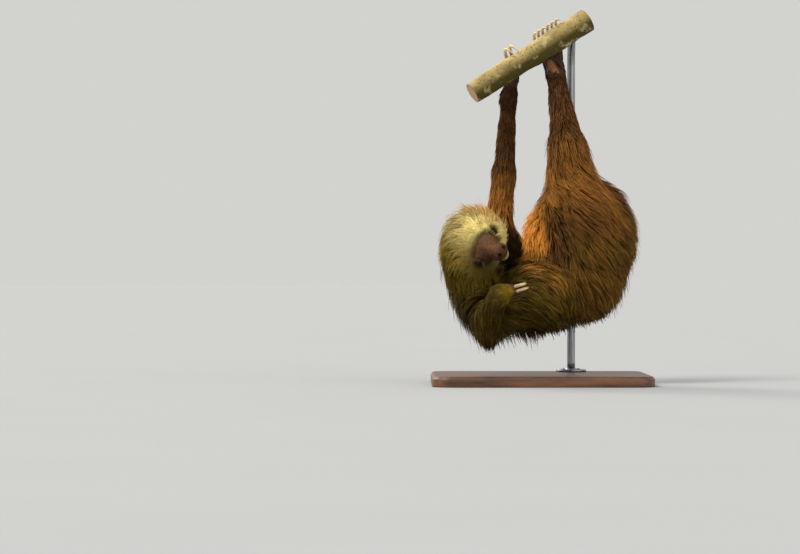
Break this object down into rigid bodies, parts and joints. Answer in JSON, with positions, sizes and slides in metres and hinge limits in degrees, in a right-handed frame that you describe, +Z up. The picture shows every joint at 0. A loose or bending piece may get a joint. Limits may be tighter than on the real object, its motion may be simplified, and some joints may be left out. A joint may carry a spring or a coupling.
{
  "type": "two-toed sloth",
  "caption": "Life-size shaggy two-toed sloth curled up below a cut length of branch, face turned aside and free arm held out, on a bent-rod display stand with a wooden base.",
  "frame": {"origin": "middle of the wooden base's underside, on the floor", "axes": "+Z up; +X along the base's longer side, from the animal's head towards its back; +Y to the side away from the camera, which is the animal's left"},
  "size_m": [0.38, 0.32, 0.6572],
  "materials": {
    "coat_brown": "long coarse hair",
    "coat_belly": "long coarse hair",
    "coat_limb": "shorter lying hair",
    "coat_face": "short to long hair",
    "bare_skin": "bare moist skin",
    "claw_horn": "polished horn",
    "eyeball": "wet gloss",
    "bark": "rough pale bark",
    "base_timber": "satin stained wood",
    "rod_steel": "satin"
  },
  "bodies": {
    "root": {"head": "coat_face", "muzzle": "bare_skin", "nose": "bare_skin", "jaw": "bare_skin", "eye_left": "eyeball", "eye_right": "eyeball", "neck": "coat_brown", "chest": "coat_brown", "abdomen": "coat_belly", "rump": "coat_brown", "upper_arm_right": "coat_brown", "forearm_right": "coat_brown", "upper_arm_left": "coat_limb", "forearm_left": "coat_limb", "thigh_right": "coat_brown", "shank_right": "coat_limb", "thigh_left": "coat_brown", "shank_left": "coat_limb", "hand_right": "bare_skin", "hand_left": "bare_skin", "foot_right": "bare_skin", "foot_left": "bare_skin", "stand_base": "base_timber", "stand_flange": "rod_steel", "stand_rod": "rod_steel", "stand_rod_bend": "rod_steel", "stand_collar": "rod_steel", "stand_perch": "bark", "claw_hand_left_1": "claw_horn", "claw_hand_left_2": "claw_horn", "claw_foot_left_1": "claw_horn", "claw_foot_left_2": "claw_horn", "claw_foot_left_3": "claw_horn", "claw_hand_right_1": "claw_horn", "claw_hand_right_2": "claw_horn", "claw_foot_right_1": "claw_horn", "claw_foot_right_2": "claw_horn", "claw_foot_right_3": "claw_horn"}
  },
  "joints": []
}
